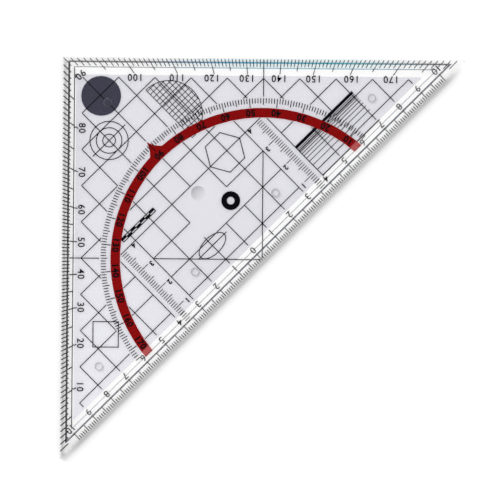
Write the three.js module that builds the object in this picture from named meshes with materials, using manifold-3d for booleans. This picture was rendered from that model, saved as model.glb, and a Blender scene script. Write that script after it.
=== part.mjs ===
// Multi-angle set square. One clear moulding carries everything: a raised field inside a low ledge,
// round feet underneath, and every graduation sunk into its underside as a narrow V groove.
// Thin films of ink lie on the same underside, so that they touch the paper and show through.
// Millimetres. +X runs along the long ruling edge, +Y towards the right angle, +Z up.
// Heights, offsets and radii in plan count from the zero mark, in the middle of the ruling edge.

import * as THREE from 'three';
import { mergeVertices } from 'three/addons/utils/BufferGeometryUtils.js';
import Module from 'manifold-3d';

const wasm = await Module();
wasm.setup();

// Outline: an isosceles right triangle, measured between its sharp corners. The zero mark that all
// scales share stands a little inside the ruling edge.
const rulingEdgeLength = 222.6;
const zeroMarkInset = 0.5;
const cornerRadius = 0.5;
const cornerSteps = 6;

// Relief of the upper side, from the outer edge inwards: ledge, wall, facet, low step, facet, field.
const ledgeThickness = 1;
const rulingLedgeWidth = 3.05;
const rightLedgeWidth = 1.4;
const leftLedgeWidth = 2.45;
const wallRun = 0.5;
const wallRise = 0.6;
const outerFacetWidth = 1.85;
const outerFacetRise = 0.3;
const stepRun = 0.2;
const stepRise = 0.15;
const rulingInnerFacetWidth = 1.8;
const rightInnerFacetWidth = 2.95;
const leftInnerFacetWidth = 0.5;
const innerFacetRise = 0.35;

// Feet that lift the plate off wet ink. Insets count from the nearest sharp corner.
const nubRadius = 1.5;
const nubHeight = 0.5;
const nubRimRadius = 0.15;
const nubSteps = 16;
const nubRimSteps = 2;
const apexNubInset = 24.8;
const lowNubHeight = 15;
const innerNubOffset = 22;
const outerNubInset = 36.6;

// Shallow round recess with the trimmed moulding gate, on the upper side.
const gateBandClearance = 18.3;
const gateRecessRadius = 2.4;
const gateRecessDepth = 0.3;
const gateStubRadius = 0.7;
const gateStubHeight = 0.15;

// Red half-round band with its pointer, placed by its distance from the legs.
const bandLegClearance = 19.16;
const bandWidth = 3.7;
const bandEndHeight = 4.8;
const bandCurveSteps = 16;
const pointerHalfWidth = 3.3;
const pointerLength = 5.3;
const pointerWaistHalfWidth = 0.8;
const pointerWaistLength = 2;

// Graduations: grooves of one section. Leg ticks are measured square to the leg.
const grooveWidth = 0.22;
const grooveDepth = 0.12;
const edgeMargin = 0.2;
const scaleEndMargin = 10.2;
const rulerPitch = 1;
const rulerTickLength = 1.8;
const rulerHalfTickLength = 3.3;
const rulerLongTickLength = 3.9;
const legTickLength = 3.3;
const legHalfTickLength = 4.85;
const legLongTickLength = 6.2;
const ringBandClearance = 3.8;
const ringTickLength = 2;
const ringHalfTickLength = 2.6;
const ringLongTickLength = 3.65;
const ringFirstDegree = 5;
const rightDegrees = 90;
const straightDegrees = 180;
const halfTickEvery = 5;
const longTickEvery = 10;
const ladderBandClearance = 17.4;
const ladderPitch = 1;
const ladderFirstStep = 4;
const ladderTickLength = 2.5;
const ladderHalfTickLength = 3.5;
const ladderLongTickLength = 5;

// Ink films.
const inkThickness = 0.0625;
const inkClearance = 0.3;
const markCurveSteps = 12;

// Grid of squares. It stops in a zigzag along the legs, and leaves room for the other scales.
const gridPitch = 10;
const gridLineWidth = 0.36;
const gridTailLength = 2.2;
const gridBandClearance = 0.15;
const gridRingClearance = 0.6;
const ladderInnerRoom = 8.1;
const ladderOuterRoom = 1.9;
const guideCells = 3;
const guideTipHeight = 0.4;

// Cells between which a grid line is left out round the gate, by the line's count from zero.
const openColumns = { 0: [2, 4], 1: [2, 3] };
const openRows = { 3: [-1, 1] };

// Round marks.
const cornerDiscInset = 21.2;
const cornerDiscRadius = 7.8;
const centreDiscOffset = 7.4;
const centreDiscRadius = 3.7;
const centreDiscHoleRadius = 1.5;

// Half-round patch of square hatching.
const hatchInset = 44.8;
const hatchOffset = 14;
const hatchRadius = 13;
const hatchPitch = 2.5;
const hatchLineWidth = 0.34;

// Rake of parallel lines that thin out and spread apart.
const rakeEndInset = 40.3;
const rakeLength = 31;
const rakeTopHeight = 22.5;
const rakeHeavyWidth = 1.2;
const rakeLineWidth = 0.3;
const rakeFirstPitch = 0.5;
const rakePitchShare = 1.22;
const rakeLineCount = 11;

// Drawing templates: nested circles, a hexagon, an oval, a square and a chequered bar.
const outlineWidth = 0.36;
const circleSetInset = 35.8;
const circleSetOffset = -10;
const circleSetPitch = 2.5;
const circleSetCount = 3;
const circleSetOverhang = 1.4;
const hexagonBandClearance = 15.5;
const hexagonOffset = 19;
const hexagonRadius = 8;
const ovalOffset = -10;
const ovalHeight = 17.5;
const ovalHalfLength = 6.5;
const ovalHalfWidth = 3.4;
const ovalOverhang = 1.2;
const squareInset = 47.3;
const squareHeight = 22;
const squareRadius = 7;
const chequerBandClearance = 12;
const chequerOffset = -25;
const chequerCellLength = 2.5;
const chequerCellWidth = 0.8;
const chequerCellCount = 7;

// One overrun serves every cut and every join.
const cutOverrun = 0.05;

const clearPlastic = new THREE.MeshStandardMaterial({
  color: 0xe2e2e9, roughness: 0.12, metalness: 0, transparent: true, opacity: 0.35,
});
const blackInk = new THREE.MeshStandardMaterial({ color: 0x1e1e28, roughness: 0.55, metalness: 0 });
const greyInk = new THREE.MeshStandardMaterial({ color: 0x3e3e4b, roughness: 0.55, metalness: 0 });
const redInk = new THREE.MeshStandardMaterial({ color: 0x8b0000, roughness: 0.5, metalness: 0 });

// Each side of the triangle, by its outward normal and its distance from the zero mark.
const legAngle = Math.PI / 4;
const halfLength = rulingEdgeLength / 2;
const scaleHalfLength = halfLength - zeroMarkInset / Math.tan(legAngle);
const apexHeight = scaleHalfLength * Math.tan(legAngle);
const legDistance = scaleHalfLength * Math.sin(legAngle);
const sides = {
  ruling: { normalAngle: -Math.PI / 2, distance: zeroMarkInset },
  right: { normalAngle: Math.PI / 2 - legAngle, distance: legDistance },
  left: { normalAngle: Math.PI / 2 + legAngle, distance: legDistance },
};
const corners = [['ruling', 'right'], ['right', 'left'], ['left', 'ruling']];

// How far each edge of the relief stands in from the three sides, and how high it is.
const noInsets = { ruling: 0, right: 0, left: 0 };
const ledgeInsets = { ruling: rulingLedgeWidth, right: rightLedgeWidth, left: leftLedgeWidth };
const wallInsets = insetFurther(ledgeInsets, wallRun);
const outerFacetInsets = insetFurther(wallInsets, outerFacetWidth);
const stepInsets = insetFurther(outerFacetInsets, stepRun);
const fieldInsets = {
  ruling: stepInsets.ruling + rulingInnerFacetWidth,
  right: stepInsets.right + rightInnerFacetWidth,
  left: stepInsets.left + leftInnerFacetWidth,
};
const wallTop = ledgeThickness + wallRise;
const outerFacetTop = wallTop + outerFacetRise;
const stepTop = outerFacetTop + stepRise;
const fieldTop = stepTop + innerFacetRise;

// The scales keep their distances from the band, and the band keeps its own from the legs.
const bandOuterRadius = legDistance - bandLegClearance;
const bandInnerRadius = bandOuterRadius - bandWidth;
const pointerTipHeight = bandOuterRadius + pointerLength;
const ringRadius = bandOuterRadius + ringBandClearance;
const gridInnerRadius = bandInnerRadius - gridBandClearance;
const gridOuterRadius = ringRadius + gridRingClearance;
const ladderOffset = bandInnerRadius - ladderBandClearance;
const ladderTop = Math.sqrt(bandInnerRadius ** 2 - ladderOffset ** 2);
const ladderLastStep = Math.floor(ladderTop / ladderPitch);
const rulerHalfCount = Math.floor((scaleHalfLength - scaleEndMargin) / rulerPitch);
const gridCells = Math.floor((scaleHalfLength - scaleEndMargin) / gridPitch);
const gridReach = gridCells * gridPitch;

const gateCentre = new THREE.Vector2(0, bandInnerRadius - gateBandClearance);
const nubPlaces = [
  new THREE.Vector2(0, apexHeight - apexNubInset),
  new THREE.Vector2(outerNubInset - halfLength, lowNubHeight),
  new THREE.Vector2(-innerNubOffset, lowNubHeight),
  new THREE.Vector2(innerNubOffset, lowNubHeight),
  new THREE.Vector2(halfLength - outerNubInset, lowNubHeight),
];

function insetFurther(insets, width) {
  return Object.fromEntries(Object.entries(insets).map(([side, inset]) => [side, inset + width]));
}

function polar(radius, angle, centre = new THREE.Vector2()) {
  return new THREE.Vector2(Math.cos(angle), Math.sin(angle)).multiplyScalar(radius).add(centre);
}

// The point where two sides meet once each is moved inwards by its own inset.
function cornerPoint(insets, [first, second]) {
  const a = polar(1, sides[first].normalAngle);
  const b = polar(1, sides[second].normalAngle);
  const reachA = sides[first].distance - insets[first];
  const reachB = sides[second].distance - insets[second];
  const cross = a.cross(b);
  return new THREE.Vector2(
    (reachA * b.y - reachB * a.y) / cross,
    (reachB * a.x - reachA * b.x) / cross,
  );
}

// The inset triangle with rounded corners: each arc runs from one side's normal to the next.
function roundedTriangle(insets) {
  const centreInsets = insetFurther(insets, cornerRadius);
  return corners.flatMap((corner) => {
    const [from, to] = corner.map((side) => sides[side].normalAngle);
    const turn = (to - from + 2 * Math.PI) % (2 * Math.PI);
    const centre = cornerPoint(centreInsets, corner);
    return Array.from({ length: cornerSteps + 1 }, (_, step) =>
      polar(cornerRadius, from + (turn * step) / cornerSteps, centre));
  });
}

function indexedGeometry(positions, indices) {
  const geometry = new THREE.BufferGeometry();
  geometry.setAttribute('position', new THREE.Float32BufferAttribute(positions, 3));
  geometry.setIndex(indices);
  return geometry;
}

// A closed body through a stack of rings that have the same number of points, lowest ring first.
function loft(rings) {
  const count = rings[0].points.length;
  const positions = rings.flatMap(({ points, height }) => points.flatMap(({ x, y }) => [x, y, height]));
  const indices = [];
  for (let level = 0; level + 1 < rings.length; level += 1) {
    const low = level * count;
    const high = low + count;
    for (let i = 0; i < count; i += 1) {
      const next = (i + 1) % count;
      indices.push(low + i, low + next, high + next, low + i, high + next, high + i);
    }
  }
  const last = (rings.length - 1) * count;
  for (let i = 1; i + 1 < count; i += 1) {
    indices.push(0, i + 1, i, last, last + i, last + i + 1);
  }
  return indexedGeometry(positions, indices);
}

// A solid for joining and cutting, without the triangles that a seam leaves empty.
function toSolid(geometry) {
  const bare = geometry.clone();
  bare.deleteAttribute('normal');
  bare.deleteAttribute('uv');
  const merged = mergeVertices(bare);
  const index = merged.index.array;
  const triangles = [];
  for (let i = 0; i < index.length; i += 3) {
    const [a, b, c] = index.slice(i, i + 3);
    if (a !== b && b !== c && c !== a) triangles.push(a, b, c);
  }
  return new wasm.Manifold(new wasm.Mesh({
    numProp: 3,
    vertProperties: merged.attributes.position.array,
    triVerts: Uint32Array.from(triangles),
  }));
}

// The separate closed bodies of a solid, each a geometry, largest first.
function toGeometries(solid) {
  const { vertProperties, triVerts } = solid.getMesh();
  const parent = Array.from({ length: vertProperties.length / 3 }, (_, i) => i);
  const root = (i) => {
    let at = i;
    while (parent[at] !== at) at = parent[at];
    parent[i] = at;
    return at;
  };
  for (let i = 0; i < triVerts.length; i += 3) {
    parent[root(triVerts[i + 1])] = root(triVerts[i]);
    parent[root(triVerts[i + 2])] = root(triVerts[i]);
  }
  const bodies = new Map();
  for (let i = 0; i < triVerts.length; i += 3) {
    const key = root(triVerts[i]);
    if (!bodies.has(key)) bodies.set(key, []);
    bodies.get(key).push(...triVerts.slice(i, i + 3));
  }
  return [...bodies.values()]
    .sort((first, second) => second.length - first.length)
    .map((indices) => {
      const geometry = indexedGeometry(vertProperties, indices).toNonIndexed();
      geometry.computeVertexNormals();
      return geometry;
    });
}

// Shapes that keep clear of each other, raised from one height to another.
function slab(shapes, low, high, curveSegments = markCurveSteps) {
  const geometry = new THREE.ExtrudeGeometry(shapes, {
    depth: high - low, bevelEnabled: false, curveSegments,
  });
  return toSolid(geometry.translate(0, 0, low));
}

// A film under the plate, cut level from taller families of shapes that cross each other.
function film(families, [low, high]) {
  const layer = slab(new THREE.Shape(roundedTriangle(noInsets)), low, high);
  const overrun = (family) => (family + 1) * cutOverrun;
  return families
    .map((shapes, i) => slab(shapes, low - overrun(i), high + overrun(i)))
    .reduce((body, family) => body.add(family))
    .intersect(layer);
}

function discShape(centre, radius) {
  return new THREE.Shape().absarc(centre.x, centre.y, radius, 0, 2 * Math.PI);
}

function ringShape(centre, radius, width) {
  const shape = discShape(centre, radius + width / 2);
  shape.holes.push(discShape(centre, radius - width / 2));
  return shape;
}

// A straight line with square ends.
function stroke(start, end, width) {
  const along = end.clone().sub(start).setLength(width / 2);
  const across = new THREE.Vector2(-along.y, along.x);
  return new THREE.Shape([
    start.clone().sub(across), end.clone().sub(across), end.clone().add(across), start.clone().add(across),
  ]);
}

function upright(x, low, high, width) {
  return stroke(new THREE.Vector2(x, low), new THREE.Vector2(x, high), width);
}

function level(y, low, high, width) {
  return stroke(new THREE.Vector2(low, y), new THREE.Vector2(high, y), width);
}

// The outline of a regular polygon with its first corner on +X.
function polygonOutline(centre, radius, sideCount) {
  const loop = (reach) => Array.from({ length: sideCount }, (_, i) =>
    polar(reach, (2 * Math.PI * i) / sideCount, centre));
  const half = outlineWidth / 2 / Math.cos(Math.PI / sideCount);
  const shape = new THREE.Shape(loop(radius + half));
  shape.holes.push(new THREE.Path(loop(radius - half)));
  return shape;
}

function isMultiple(value, divisor) {
  return value % divisor === 0;
}

function tickLength(count, plain, half, long) {
  if (isMultiple(count, longTickEvery)) return long;
  return isMultiple(count, halfTickEvery) ? half : plain;
}

function wholeNumbers(first, last) {
  return Array.from({ length: Math.max(last - first + 1, 0) }, (_, i) => first + i);
}

// The ruler counts outwards both ways from the zero mark.
function rulerTicks() {
  return wholeNumbers(-rulerHalfCount, rulerHalfCount).map((count) => {
    const length = tickLength(count, rulerTickLength, rulerHalfTickLength, rulerLongTickLength);
    return {
      start: new THREE.Vector2(count * rulerPitch, edgeMargin - zeroMarkInset),
      end: new THREE.Vector2(count * rulerPitch, length - zeroMarkInset),
    };
  });
}

// Leg ticks point at the zero mark; the one in the right angle is short.
function legTicks() {
  return wholeNumbers(1, straightDegrees - 1).map((degree) => {
    const angle = THREE.MathUtils.degToRad(degree);
    const side = degree <= rightDegrees ? sides.right : sides.left;
    const slant = Math.cos(angle - side.normalAngle);
    const length = degree === rightDegrees
      ? legTickLength
      : tickLength(degree, legTickLength, legHalfTickLength, legLongTickLength);
    return {
      start: polar((side.distance - edgeMargin) / slant, angle),
      end: polar((side.distance - length) / slant, angle),
    };
  });
}

function ringTicks() {
  return wholeNumbers(ringFirstDegree, straightDegrees - ringFirstDegree).map((degree) => {
    const angle = THREE.MathUtils.degToRad(degree);
    const length = tickLength(degree, ringTickLength, ringHalfTickLength, ringLongTickLength);
    return { start: polar(ringRadius, angle), end: polar(ringRadius - length, angle) };
  });
}

// Two upright scales that share the ruler's millimetres and end where they meet the band.
function ladderTicks() {
  return [-1, 1].flatMap((hand) => wholeNumbers(ladderFirstStep, ladderLastStep).map((count) => {
    const length = tickLength(count, ladderTickLength, ladderHalfTickLength, ladderLongTickLength);
    return {
      start: new THREE.Vector2(hand * ladderOffset, count * ladderPitch),
      end: new THREE.Vector2(hand * (ladderOffset - length), count * ladderPitch),
    };
  }));
}

// Cutters shaped like hipped roofs: their slopes meet the underside on the stated width and ends.
function grooveCutters(ticks) {
  const positions = [];
  const indices = [];
  const spread = ((grooveWidth / 2) * cutOverrun) / grooveDepth;
  const faces = [[0, 2, 1], [0, 3, 2], [0, 1, 5], [0, 5, 4], [2, 3, 4], [2, 4, 5], [1, 2, 5], [3, 0, 4]];
  for (const { start, end } of ticks) {
    const first = positions.length / 3;
    const along = end.clone().sub(start).normalize();
    const across = new THREE.Vector2(-along.y, along.x).multiplyScalar(grooveWidth / 2 + spread);
    const near = start.clone().addScaledVector(along, -spread);
    const far = end.clone().addScaledVector(along, spread);
    const base = [
      near.clone().sub(across), far.clone().sub(across), far.clone().add(across), near.clone().add(across),
    ];
    const ridge = [
      start.clone().addScaledVector(along, grooveWidth / 2),
      end.clone().addScaledVector(along, -grooveWidth / 2),
    ];
    base.forEach(({ x, y }) => positions.push(x, y, -cutOverrun));
    ridge.forEach(({ x, y }) => positions.push(x, y, grooveDepth));
    faces.flat().forEach((corner) => indices.push(first + corner));
  }
  return toSolid(indexedGeometry(positions, indices));
}

// A flat round foot with a rounded rim, reaching up into the plate that carries it.
function nub(place) {
  const rimCentre = new THREE.Vector2(nubRadius - nubRimRadius, nubRimRadius - nubHeight);
  const rim = wholeNumbers(0, nubRimSteps).map((step) =>
    polar(nubRimRadius, (-Math.PI / 2) * (1 - step / nubRimSteps), rimCentre));
  const profile = [
    new THREE.Vector2(0, -nubHeight), ...rim, new THREE.Vector2(nubRadius, cutOverrun),
    new THREE.Vector2(0, cutOverrun),
  ];
  const geometry = new THREE.LatheGeometry(profile, nubSteps);
  return toSolid(geometry.rotateX(Math.PI / 2).translate(place.x, place.y, 0));
}

function buildPlate() {
  const rings = [
    [noInsets, 0],
    [noInsets, ledgeThickness],
    [ledgeInsets, ledgeThickness],
    [wallInsets, wallTop],
    [outerFacetInsets, outerFacetTop],
    [stepInsets, stepTop],
    [fieldInsets, fieldTop],
  ].map(([insets, height]) => ({ points: roundedTriangle(insets), height }));
  const grooves = grooveCutters([...rulerTicks(), ...legTicks(), ...ringTicks(), ...ladderTicks()]);
  const gateFloor = fieldTop - gateRecessDepth;
  const recess = slab(discShape(gateCentre, gateRecessRadius), gateFloor, fieldTop + cutOverrun);
  const stub = slab(
    discShape(gateCentre, gateStubRadius), gateFloor - cutOverrun, gateFloor + gateStubHeight,
  );
  const body = toSolid(loft(rings)).subtract(grooves).subtract(recess).add(stub);
  return nubPlaces.map(nub).reduce((plate, foot) => plate.add(foot), body);
}

// What is left of a run from low to high once the stated gaps, in rising order, are taken out.
function runsBetween(low, high, gaps) {
  const starts = [low, ...gaps.map(([, gapHigh]) => gapHigh)];
  const ends = [...gaps.map(([gapLow]) => gapLow), high];
  return starts
    .map((start, i) => [Math.max(start, low), Math.min(ends[i], high)])
    .filter(([start, end]) => end > start);
}

function gapOf(cells) {
  return cells ? [cells.map((cell) => cell * gridPitch)] : [];
}

function gridColumn(count) {
  const x = count * gridPitch;
  const gaps = gapOf(openColumns[Math.abs(count)]);
  if (count === 0) gaps.push([gridInnerRadius, pointerTipHeight + inkClearance]);
  return runsBetween(gridPitch - gridTailLength, gridReach - Math.abs(x), gaps).map(([low, high]) =>
    upright(x, low, high, gridLineWidth));
}

// Rows that pass the ladder scales leave room for them and for their numbers.
function gridRow(count) {
  const y = count * gridPitch;
  const gaps = gapOf(openRows[count]);
  if (y < ladderLastStep * ladderPitch) {
    const room = [ladderOffset - ladderInnerRoom, ladderOffset + ladderOuterRoom];
    gaps.unshift([-room[1], -room[0]]);
    gaps.push(room);
  }
  return runsBetween(y - gridReach, gridReach - y, gaps).map(([low, high]) =>
    level(y, low, high, gridLineWidth));
}

// Lines at 45 degrees: one pair runs in to the zero mark, one pair starts at the legs.
function guideLines() {
  const innerReach = guideCells * gridPitch;
  const ringReach = bandOuterRadius * Math.cos(legAngle);
  const legReach = (legDistance - edgeMargin) * Math.cos(legAngle);
  return [-1, 1].flatMap((hand) => [
    stroke(new THREE.Vector2(hand * guideTipHeight, guideTipHeight),
      new THREE.Vector2(hand * innerReach, innerReach), gridLineWidth),
    stroke(new THREE.Vector2(hand * ringReach, ringReach),
      new THREE.Vector2(hand * legReach, legReach), gridLineWidth),
  ]);
}

// The band is a half ring, cut level at both ends, with a concave pointer at 90 degrees.
function bandShape() {
  const outerEnd = Math.asin(bandEndHeight / bandOuterRadius);
  const innerEnd = Math.asin(bandEndHeight / bandInnerRadius);
  const shoulder = Math.acos(pointerHalfWidth / bandOuterRadius);
  const shoulderPoint = polar(bandOuterRadius, Math.PI - shoulder);
  const waistHeight = bandOuterRadius + pointerWaistLength;
  return new THREE.Shape()
    .absarc(0, 0, bandOuterRadius, outerEnd, shoulder, false)
    .quadraticCurveTo(pointerWaistHalfWidth, waistHeight, 0, pointerTipHeight)
    .quadraticCurveTo(-pointerWaistHalfWidth, waistHeight, shoulderPoint.x, shoulderPoint.y)
    .absarc(0, 0, bandOuterRadius, Math.PI - shoulder, Math.PI - outerEnd, false)
    .absarc(0, 0, bandInnerRadius, Math.PI - innerEnd, innerEnd, true);
}

// Square hatching trimmed to a half disc, inside a half-round rim.
function hatchFamilies() {
  const centre = new THREE.Vector2(hatchOffset, apexHeight - hatchInset);
  const chord = (offset) => Math.sqrt(hatchRadius ** 2 - offset ** 2) - outlineWidth / 2;
  const offsets = wholeNumbers(1, Math.round(hatchRadius / hatchPitch) - 1).map((line) => line * hatchPitch);
  const rim = new THREE.Shape()
    .absarc(centre.x, centre.y, hatchRadius, -Math.PI / 2, Math.PI / 2, false)
    .absarc(centre.x, centre.y, hatchRadius - outlineWidth, Math.PI / 2, -Math.PI / 2, true);
  const uprights = offsets.map((offset) => upright(
    centre.x + offset, centre.y - chord(offset), centre.y + chord(offset), hatchLineWidth,
  ));
  const levels = [...offsets.map((offset) => -offset), 0, ...offsets].map((offset) =>
    level(centre.y + offset, centre.x, centre.x + chord(offset), hatchLineWidth));
  const edge = upright(centre.x, centre.y - chord(0), centre.y + chord(0), outlineWidth);
  return [[rim], [edge, ...uprights], levels];
}

// Parallel lines that join one upright: the first is heavy, the rest thin, each step wider.
function rakeFamilies() {
  const end = halfLength - rakeEndInset;
  const start = end - rakeLength;
  const lines = [level(rakeTopHeight - rakeHeavyWidth / 2, start, end, rakeHeavyWidth)];
  let height = rakeTopHeight - rakeHeavyWidth;
  let pitch = rakeFirstPitch;
  for (let line = 1; line < rakeLineCount; line += 1) {
    height -= pitch;
    pitch *= rakePitchShare;
    lines.push(level(height, start, end, rakeLineWidth));
  }
  return [lines, [upright(start, height - rakeLineWidth, rakeTopHeight, outlineWidth)]];
}

function crossFamilies(centre, halfWidth, halfHeight) {
  return [
    [level(centre.y, centre.x - halfWidth, centre.x + halfWidth, outlineWidth)],
    [upright(centre.x, centre.y - halfHeight, centre.y + halfHeight, outlineWidth)],
  ];
}

function circleSetFamilies() {
  const centre = new THREE.Vector2(circleSetOffset, apexHeight - circleSetInset);
  const reach = circleSetCount * circleSetPitch + circleSetOverhang;
  const rings = wholeNumbers(1, circleSetCount).map((count) =>
    ringShape(centre, count * circleSetPitch, outlineWidth));
  return [rings, ...crossFamilies(centre, reach, reach)];
}

function ovalFamilies() {
  const centre = new THREE.Vector2(ovalOffset, ovalHeight);
  const oval = (spread) => new THREE.Shape().absellipse(
    centre.x, centre.y, ovalHalfLength + spread, ovalHalfWidth + spread, 0, 2 * Math.PI, false, 0,
  );
  const outline = oval(outlineWidth / 2);
  outline.holes.push(oval(-outlineWidth / 2));
  return [
    [outline],
    ...crossFamilies(centre, ovalHalfLength + ovalOverhang, ovalHalfWidth + ovalOverhang),
  ];
}

// A bar of cells in two rows, filled by turns.
function chequerFamilies() {
  const height = bandInnerRadius - chequerBandClearance;
  const start = chequerOffset - (chequerCellCount * chequerCellLength) / 2;
  const end = start + chequerCellCount * chequerCellLength;
  const cells = wholeNumbers(0, chequerCellCount - 1);
  const filled = (inTurn, side) => cells.filter((cell) => isMultiple(cell, 2) === inTurn).map((cell) => {
    const x = start + cell * chequerCellLength;
    return level(height + (side * chequerCellWidth) / 2, x, x + chequerCellLength, chequerCellWidth);
  });
  const frame = [-1, 0, 1].map((row) => level(height + row * chequerCellWidth, start, end, outlineWidth));
  const ends = [start, end].map((x) =>
    upright(x, height - chequerCellWidth, height + chequerCellWidth, outlineWidth));
  return [filled(true, 1), filled(false, -1), frame, ends];
}

const upperInk = [-inkThickness, 0];
const lowerInk = [-2 * inkThickness, -inkThickness];

// Ink stays clear of the feet that pass through its layers.
const nubSleeves = slab(
  nubPlaces.map((place) => discShape(place, nubRadius + inkClearance)),
  -2 * inkThickness - cutOverrun, cutOverrun,
);

const setSquare = new THREE.Group();
const [, apex] = corners;
const outlineTop = cornerPoint(insetFurther(noInsets, cornerRadius), apex).y + cornerRadius;
setSquare.position.set(0, (zeroMarkInset - outlineTop) / 2, nubHeight);

// A solid that falls into separate bodies gives each after the first a number.
function addPiece(name, solid, material) {
  toGeometries(solid).forEach((geometry, i) => {
    const mesh = new THREE.Mesh(geometry, material.clone());
    mesh.name = i === 0 ? name : `${name}_${i + 1}`;
    setSquare.add(mesh);
  });
}

function addInk(name, families, layer, material) {
  addPiece(name, film(families, layer).subtract(nubSleeves), material);
}

addPiece('plate', buildPlate(), clearPlastic);

// The grid leaves a half ring free for the band, and its sides stand apart from its middle.
const zeroMark = new THREE.Vector2();
const throughInk = [-inkThickness - cutOverrun, cutOverrun];
const columns = wholeNumbers(1 - gridCells, gridCells - 1).flatMap(gridColumn);
const rows = wholeNumbers(1, gridCells - 1).flatMap(gridRow);
const grid = film([columns, rows, guideLines()], upperInk).subtract(nubSleeves);
const innerGrid = grid.intersect(
  slab(discShape(zeroMark, gridInnerRadius), ...throughInk, bandCurveSteps),
);
const outerGrid = grid.subtract(
  slab(discShape(zeroMark, gridOuterRadius), ...throughInk, bandCurveSteps),
);
const sideStart = ladderOffset + ladderOuterRoom / 2;
const gridSides = slab([-1, 1].map((hand) =>
  upright((hand * (sideStart + gridReach)) / 2, 0, gridReach, gridReach - sideStart)), ...throughInk);
addPiece('grid_outer', outerGrid, blackInk);
addPiece('grid_middle', innerGrid.subtract(gridSides), blackInk);
addPiece('grid_side', innerGrid.intersect(gridSides), blackInk);
addPiece('protractor_band', slab(bandShape(), ...upperInk, bandCurveSteps), redInk);

const cornerDisc = discShape(new THREE.Vector2(0, apexHeight - cornerDiscInset), cornerDiscRadius);

// The centre disc stands halfway up the opening of the first column.
const [openLow, openHigh] = openColumns[1];
const centreDisc = ringShape(
  new THREE.Vector2(centreDiscOffset, ((openLow + openHigh) / 2) * gridPitch),
  (centreDiscRadius + centreDiscHoleRadius) / 2, centreDiscRadius - centreDiscHoleRadius,
);
const hexagon = polygonOutline(
  new THREE.Vector2(hexagonOffset, bandInnerRadius - hexagonBandClearance), hexagonRadius, 6,
);
const square = polygonOutline(new THREE.Vector2(squareInset - halfLength, squareHeight), squareRadius, 4);
addInk('centre_disc', [[centreDisc]], upperInk, blackInk);
addInk('corner_disc', [[cornerDisc]], lowerInk, greyInk);
addInk('hatch_patch', hatchFamilies(), lowerInk, blackInk);
addInk('line_rake', rakeFamilies(), lowerInk, blackInk);
addInk('circle_set', circleSetFamilies(), lowerInk, blackInk);
addInk('hexagon_outline', [[hexagon]], lowerInk, blackInk);
addInk('oval_outline', ovalFamilies(), lowerInk, blackInk);
addInk('square_outline', [[square]], lowerInk, blackInk);
addInk('chequer_bar', chequerFamilies(), lowerInk, blackInk);

export default setSquare;
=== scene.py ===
"""Multi-angle set square: a clear moulded plate, its sunk graduations and the ink on its underside.

Plan measures are in millimetres from the zero mark: x along the ruling edge, y towards the right
angle, height above the plate's underside. Everything is placed in the frame's own metres.
"""
import math

import bmesh
import bpy
from bpy.props import FloatProperty, FloatVectorProperty, IntProperty, PointerProperty
from bpy.types import Operator, Panel, PropertyGroup
from mathutils import Euler, Matrix, Vector


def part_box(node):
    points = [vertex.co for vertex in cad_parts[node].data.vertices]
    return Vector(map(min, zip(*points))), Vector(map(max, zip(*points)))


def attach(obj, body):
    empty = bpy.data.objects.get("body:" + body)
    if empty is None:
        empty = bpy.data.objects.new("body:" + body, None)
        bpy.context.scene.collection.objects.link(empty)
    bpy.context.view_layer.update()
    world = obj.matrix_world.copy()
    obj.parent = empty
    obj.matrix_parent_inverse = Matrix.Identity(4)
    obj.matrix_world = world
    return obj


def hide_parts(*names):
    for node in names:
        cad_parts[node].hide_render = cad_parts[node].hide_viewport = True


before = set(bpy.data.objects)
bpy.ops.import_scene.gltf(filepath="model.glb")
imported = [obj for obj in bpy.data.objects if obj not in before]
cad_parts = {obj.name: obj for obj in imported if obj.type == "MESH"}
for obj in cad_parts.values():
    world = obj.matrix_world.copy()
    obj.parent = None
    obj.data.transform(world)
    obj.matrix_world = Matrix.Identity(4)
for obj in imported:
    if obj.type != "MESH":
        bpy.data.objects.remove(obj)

bl_info = {
    "name": "Multi-angle set square",
    "version": (1, 0, 0),
    "blender": (4, 5, 0),
    "location": "3D View > Sidebar > Set square",
    "description": "Dresses the set square: clear plate, graduations, numerals, ink and studio",
    "category": "Object",
}

MM = 0.001
ROOT = "root"

# The frame gives the outline, the heights and the radii that the dressing follows.
PLATE_LOW, PLATE_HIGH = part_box("plate")
BAND_LOW, BAND_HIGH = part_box("protractor_band")
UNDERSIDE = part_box("grid_outer")[1][2]
CORNER_RADIUS = 0.5
CORNER_REACH = CORNER_RADIUS / math.tan(math.pi / 8) - CORNER_RADIUS
HALF_LENGTH = PLATE_HIGH[0] / MM + CORNER_REACH
ZERO_INSET = 0.5
SCALE_HALF_LENGTH = HALF_LENGTH - ZERO_INSET
LEG_DISTANCE = SCALE_HALF_LENGTH / math.sqrt(2)
PLATE_THICKNESS = (PLATE_HIGH[2] - UNDERSIDE) / MM
NUB_HEIGHT = (UNDERSIDE - PLATE_LOW[2]) / MM

# Outward direction of each side, as an angle in degrees, and its distance from the zero mark.
SIDES = {"ruling": (-90, ZERO_INSET), "right": (45, LEG_DISTANCE), "left": (135, LEG_DISTANCE)}
CORNERS = (("ruling", "right"), ("right", "left"), ("left", "ruling"))

# The moulded relief from the edge inwards, in millimetres. Each run starts where the last one ends.
WALL_RUN = 0.5
WALL_RISE = 0.6
OUTER_FACET_WIDTH = 1.85
OUTER_FACET_RISE = 0.3
LOW_STEP_RUN = 0.2
LOW_STEP_RISE = 0.15
INNER_FACET_WIDTHS = {"ruling": 1.8, "right": 2.95, "left": 0.5}
INNER_FACET_RISE = 0.35
# Strips with a tint of their own: the underside's margin, and those beside the wall and the low step,
# whose tints widen or narrow the painted shade of those lines.
UNDER_RIM_WIDTH = 0.9
WALL_MARGIN = 0.16
STEP_MARGIN = 0.12
# How many points of a softened profile lie at the underside.
UNDERSIDE_POINTS = 4
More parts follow.
